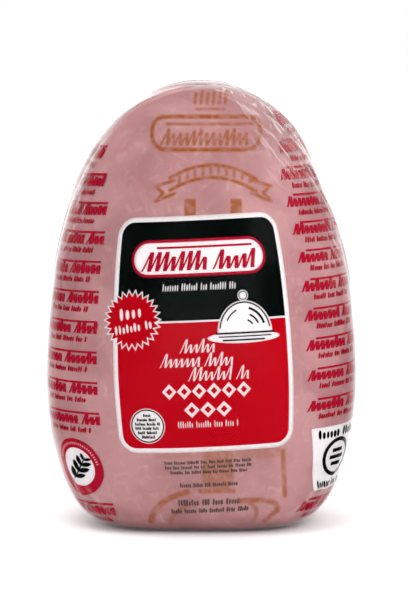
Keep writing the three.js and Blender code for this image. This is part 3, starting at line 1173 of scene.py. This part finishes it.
class OBJECT_OT_ham_side_marks(bpy.types.Operator):
    """Make the marks that repeat down both sides and the back of the bag, each of them a thin rule, a
    bold row of brush work and a small row of strokes"""

    bl_idname = "object.ham_side_marks"
    bl_label = "Side marks"

    def execute(self, context):
        pitch = context.scene.ham_print.mark_pitch / MM
        # Each column: its end nearer the front, the way it runs, the top of mark 0, its marks counted
        # up from there, half of how much less each step is than the one under it, its lean, how far
        # its marks have drawn back 50 mm over a height, and that height. The corner marks stand in the
        # gap near the foot, and the lowest mark comes under them.
        columns = {
            "left": (-MARK_START, -1, -49.2, [-2.95, *range(10)], 0.13, -0.012, 21.0, 70),
            "right": (MARK_START, 1, -45.6, [-3.24, *range(11)], 0.2, 0.012, 31.0, 92),
            "back_left": (-157, -1, -90, range(10), 0.15, 0, 6.0, 70),
            "back_right": (157, 1, -86, range(10), 0.15, 0, 6.0, 70),
            "back": (GIRTH / 2 - MARK_LENGTH / 2, 1, -77, range(8), 0.15, 0, 0.0, 70),
        }
        for number, (name, column) in enumerate(columns.items()):
            near, way, lowest, marks, squeeze, lean, draw, draw_from = column
            steps = np.array(marks, dtype=float)
            tops = lowest + pitch * steps - squeeze * steps**2
            drawn = draw * np.clip((tops - 5 - draw_from) / 45, 0, None) ** 2
            start = near + way * (lean * np.clip(tops, -60, 85) + drawn)
            end = start + way * MARK_LENGTH
            ends = np.minimum(start, end), np.maximum(start, end)
            rules = bars(mark_rows(*ends, tops, MARK_RULE), 30)
            words = scribbles(mark_rows(*ends, tops, MARK_BOLD), 31 + 2 * number, 4.3, 3.0, 0.36, 0.78)
            lines = strokes(mark_rows(*ends, tops, MARK_SMALL), 32 + 2 * number, 2.7, 0.84, 0.25)
            ink_sheet("marks_rule_" + name, rules, "base", "dark_red")
            ink_sheet("marks_bold_" + name, words, "base", "dark_red")
            ink_sheet("marks_small_" + name, lines, "base", "dark_red")
        return {"FINISHED"}


def leaves(parts):
    """Leaf shapes from a list of (foot, tip, half width): along t the half width is
    half width * sin(pi t)^0.7."""
    foot, tip, half = (np.array(values, dtype=float) for values in zip(*parts))
    way = tip - foot
    length = np.linalg.norm(way, axis=1, keepdims=True)
    off = np.stack([way[:, 1], -way[:, 0]], axis=1) / length * half[:, None]
    t = np.linspace(0, 1, 13)[:, None]
    swell = np.sin(np.pi * t) ** 0.7 * np.linspace(-1, 1, 3)
    foot, way, off = (values.T[:, :, None, None] for values in (foot, way, off))
    return foot[0] + way[0] * t + off[0] * swell, foot[1] + way[1] * t + off[1] * swell


DISC_CENTRE = (-97.3, -87)
DISC_SQUASH = 0.88  # on the bag's surface, so that the disc looks round from the front
TAPER_CENTRE = (104, -87)
TAPER = 0.0065  # how much narrower the white patch is for each mm lower, as a share
PATCH_RING_CENTRE = (101.0, -87.6)
PATCH_RING_SQUASH = 0.87


def tapered(patches):
    """The white patch's places drawn in towards its foot, where the bag narrows quickly."""
    p, q = patches
    middle, level = TAPER_CENTRE
    return middle + (p - middle) * (1 + TAPER * (q - level)), q


class OBJECT_OT_ham_corner_marks(bpy.types.Operator):
    """Make the round mark with a sprig at the lower left and the white patch at the lower right"""

    bl_idname = "object.ham_corner_marks"
    bl_label = "Corner marks"

    def execute(self, context):
        disc = ring(DISC_CENTRE, 0, 21.2, 10, squash=DISC_SQUASH)
        band = ring(DISC_CENTRE, 14.8, 21.9, 4, 65, DISC_SQUASH)
        ink_sheet("corner_disc", disc, "base", "white", weld=True)
        ink_sheet("corner_ring", band, "mark", "dark_red", weld=True)
        self.make_sprig()
        # Dashes round the upper half of the ring.
        turn = np.radians(np.arange(20, 176, 6))[:, None, None] + np.linspace(-0.014, 0.014, 3)
        reach = np.linspace(17.4, 19.2, 3)[:, None]
        dashes = (
            DISC_CENTRE[0] - reach * np.cos(turn),
            DISC_CENTRE[1] + DISC_SQUASH * reach * np.sin(turn),
        )
        ink_sheet("corner_dashes", dashes, "face", "white")
        self.make_patch()
        return {"FINISHED"}

    def make_sprig(self):
        """A sprig of dark ink: a stem and four pairs of leaves. It is laid out upright and then
        widened, because the bag turns away there."""
        stem = np.array([12.5, 19.3])
        root = np.array(DISC_CENTRE) - (6.5, 11.5)
        lean, spread, widen = 58, 42, 1.5
        parts = [(root, root + stem, 0.5)]
        for along, size in ((0.2, 7.6), (0.42, 8.2), (0.64, 7.2), (0.84, 5.0)):
            foot = root + stem * along
            for way in np.radians((lean + spread, lean - spread)):
                parts.append((foot, foot + size * np.array([np.cos(way), np.sin(way)]), size * 0.2))
        p, q = leaves(parts)
        sprig = DISC_CENTRE[0] + widen * (p - DISC_CENTRE[0]), q
        ink_sheet("corner_sprig", sprig, "panel", "black", weld=True)

    def make_patch(self):
        """A white patch with a ring of dark ink, three short bars in it, and a row of dark strokes
        over and under it."""
        patch = rounded_box(77, 127, -109.3, -65.5, [1.5] * 4)
        ink_sheet("patch_face", tapered(filled(patch, (101, -87), 18)), "base", "white", weld=True)
        band = ring(PATCH_RING_CENTRE, 12.2, 15.3, 2, 65, PATCH_RING_SQUASH)
        ink_sheet("patch_ring", tapered(band), "panel", "black", weld=True)
        rows = [(81.5, 123, -70.4, 6.4), (81, 121, -105.2, 5.6)]
        ink_sheet("patch_strokes", tapered(strokes(rows, 43, 2.8, 0.8)), "panel", "black")
        p, q = PATCH_RING_CENTRE
        halves = ((5.8, 4.6), (8.2, 0), (5.8, -4.6))
        stack = [(p - half, p + half, q + rise, 2.6) for half, rise in halves]
        ink_sheet("patch_bars", tapered(bars(stack, 6)), "panel", "black")


class OBJECT_OT_ham_small_print(bpy.types.Operator):
    """Make the small lines of thin dark ink under the label"""

    bl_idname = "object.ham_small_print"
    bl_label = "Small print"

    def execute(self, context):
        rows = [
            (-29.5, 30.9, -82.2, 2.6),
            (-29.5, 30.9, -85.5, 2.6),
            (-26, 28, -88.9, 2.6),
            (-20, 21.6, -97.8, 3.2),
            (-22.8, 23.7, -110.0, 4.6),
            (-28.8, 31.2, -116.0, 3.8),
        ]
        ink_sheet("small_print", strokes(rows, 51, 2.6, 0.8), "base", "brown")
        return {"FINISHED"}


# ---------------------------------------------------------------------------------------------
# The stage.

CAMERA_AIM = (2.0, 0.0, 150.4)
CAMERA_DISTANCE = 1374.0
CAMERA_RISE = math.radians(6.5)
CAMERA_LENS = 121.5
FLOOR_REACH = 90.0  # half the floor's side, in metres, so that its edge is out of sight
FLOOR_DROP = 0.0003  # how far it is under the bag, in metres

# Each light's place in mm, and the side of its square in metres.
LIGHTS = {
    "key": ((620, -900, 760), 0.7),
    "fill": ((-820, -760, 420), 0.6),
    "low": ((120, -1200, 120), 0.8),
    "top": ((-320, -380, 1150), 0.7),
}
LIGHT_AIM = (0, 0, 150)


class HamStageSettings(bpy.types.PropertyGroup):
    key_power: power_prop("Key light", "at the upper right front", 4.3)
    fill_power: power_prop("Fill light", "at the left front", 1.2)
    low_power: power_prop("Low light", "low in front, for the ham's lower half", 4.7)
    top_power: power_prop("Top light", "over the crown, a little to the left", 3.0)
    tent_strength: bpy.props.FloatProperty(
        name="Light tent", description="Brightness of the white tent all round", default=1.16, min=0, max=5
    )


class OBJECT_OT_ham_stage(bpy.types.Operator):
    """Make the floor, the light tent, four soft lights and the camera"""

    bl_idname = "object.ham_stage"
    bl_label = "Stage"

    def execute(self, context):
        settings = context.scene.ham_stage
        self.make_floor()
        self.make_tent(context.scene, settings.tent_strength)
        for name, (place, size) in LIGHTS.items():
            self.make_light(name + "_light", place, size, getattr(settings, name + "_power"))
        self.make_camera(context.scene)
        context.scene.view_settings.view_transform = "Standard"
        return {"FINISHED"}

    def make_floor(self):
        """A plain pale floor, far larger than the view, just under the bag."""
        mesh = bpy.data.meshes.new("floor")
        corners = [(-FLOOR_REACH, -FLOOR_REACH), (FLOOR_REACH, -FLOOR_REACH)]
        corners += [(FLOOR_REACH, FLOOR_REACH), (-FLOOR_REACH, FLOOR_REACH)]
        mesh.from_pydata([(x, y, -FLOOR_DROP) for x, y in corners], [], [(0, 1, 2, 3)])
        floor = bpy.data.objects.new("floor", mesh)
        bpy.context.scene.collection.objects.link(floor)
        # Matt board: its tooth is too fine to show, so it is drawn at 20 mm as a faint change of tone.
        material, tree = new_material("matt_white_board")
        place = add_node(tree, "ShaderNodeTexCoord").outputs["Object"]
        tooth = add_node(tree, "ShaderNodeTexNoise", {"Scale": 1 / 0.02, "Detail": 2.0}, {"Vector": place})
        tone = add_node(
            tree, "ShaderNodeMix", {MIX_A: linear("F4F4F4"), MIX_B: linear("F7F7F7")},
            {MIX_FACTOR: tooth}, data_type="RGBA",
        )
        surface = add_node(
            tree, "ShaderNodeBsdfPrincipled", {"Roughness": 0.9, "Specular IOR Level": 0.1},
            {"Base Color": tone.outputs[MIX_COLOUR]},
        )
        add_node(tree, "ShaderNodeOutputMaterial", None, {"Surface": surface})
        mesh.materials.append(material)

    def make_tent(self, scene, strength):
        """A white tent: bright behind, above and at the sides, and darker at the front, where a
        real tent has its opening."""
        world = bpy.data.worlds.new("light_tent")
        world.use_nodes = True
        tree = world.node_tree
        tree.nodes.clear()
        direction = add_node(tree, "ShaderNodeTexCoord").outputs["Generated"]
        parts = add_node(tree, "ShaderNodeSeparateXYZ", None, {0: direction})
        level = add_node(
            tree, "ShaderNodeMapRange",
            {"From Min": -0.95, "From Max": -0.1, "To Min": 0.55 * strength, "To Max": 1.25 * strength},
            {"Value": parts.outputs["Y"]}, interpolation_type="SMOOTHSTEP",
        )
        white = linear("FFFFFF")
        tent = add_node(tree, "ShaderNodeBackground", {"Color": white}, {"Strength": level})
        plain = add_node(tree, "ShaderNodeBackground", {"Color": white, "Strength": 1.0})
        seen = add_node(tree, "ShaderNodeLightPath").outputs["Is Camera Ray"]
        mixed = add_node(tree, "ShaderNodeMixShader", None, {0: seen, 1: tent, 2: plain})
        add_node(tree, "ShaderNodeOutputWorld", None, {"Surface": mixed})
        scene.world = world

    def make_light(self, name, place, size, power):
        """A square soft light aimed at the middle of the ham."""
        light = bpy.data.lights.new(name, "AREA")
        light.size = size
        light.energy = power
        lamp = bpy.data.objects.new(name, light)
        bpy.context.scene.collection.objects.link(lamp)
        start = np.array(place) * MM
        way = Vector(np.array(LIGHT_AIM) * MM - start)
        lamp.location = start
        lamp.rotation_euler = way.to_track_quat("-Z", "Y").to_euler()

    def make_camera(self, scene):
        """The camera, almost level and far off."""
        data = bpy.data.cameras.new("camera")
        data.lens = CAMERA_LENS
        camera = bpy.data.objects.new("camera", data)
        scene.collection.objects.link(camera)
        back = Vector((0, -math.cos(CAMERA_RISE), math.sin(CAMERA_RISE)))
        camera.location = (Vector(CAMERA_AIM) + back * CAMERA_DISTANCE) * MM
        camera.rotation_euler = (-back).to_track_quat("-Z", "Y").to_euler()
        scene.camera = camera


# ---------------------------------------------------------------------------------------------
# The add-on's panel and classes.

STEPS = (
    OBJECT_OT_ham_stage,
    OBJECT_OT_ham_meat,
    OBJECT_OT_ham_bag,
    OBJECT_OT_ham_label,
    OBJECT_OT_ham_label_marks,
    OBJECT_OT_ham_seals,
    OBJECT_OT_ham_side_marks,
    OBJECT_OT_ham_corner_marks,
    OBJECT_OT_ham_small_print,
)
SETTINGS = {
    "ham_meat": HamMeatSettings,
    "ham_bag": HamBagSettings,
    "ham_print": HamPrintSettings,
    "ham_stage": HamStageSettings,
}


class VIEW3D_PT_ham(bpy.types.Panel):
    """Lists the ham's settings and its making steps"""

    bl_label = "Cooked ham"
    bl_space_type = "VIEW_3D"
    bl_region_type = "UI"
    bl_category = "Ham"

    def draw(self, context):
        for name in SETTINGS:
            box = self.layout.box()
            group = getattr(context.scene, name)
            for setting in group.__annotations__:
                box.prop(group, setting)
        for step in STEPS:
            self.layout.operator(step.bl_idname)


def register():
    for cls in (*SETTINGS.values(), *STEPS, VIEW3D_PT_ham):
        bpy.utils.register_class(cls)
    for name, cls in SETTINGS.items():
        setattr(bpy.types.Scene, name, bpy.props.PointerProperty(type=cls))


def unregister():
    for name in SETTINGS:
        delattr(bpy.types.Scene, name)
    for cls in (VIEW3D_PT_ham, *reversed(STEPS), *SETTINGS.values()):
        bpy.utils.unregister_class(cls)


def main():
    """Make the whole ham."""
    register()
    for step in STEPS:
        group, name = step.bl_idname.split(".")
        getattr(getattr(bpy.ops, group), name)()


if __name__ == "__main__":
    main()
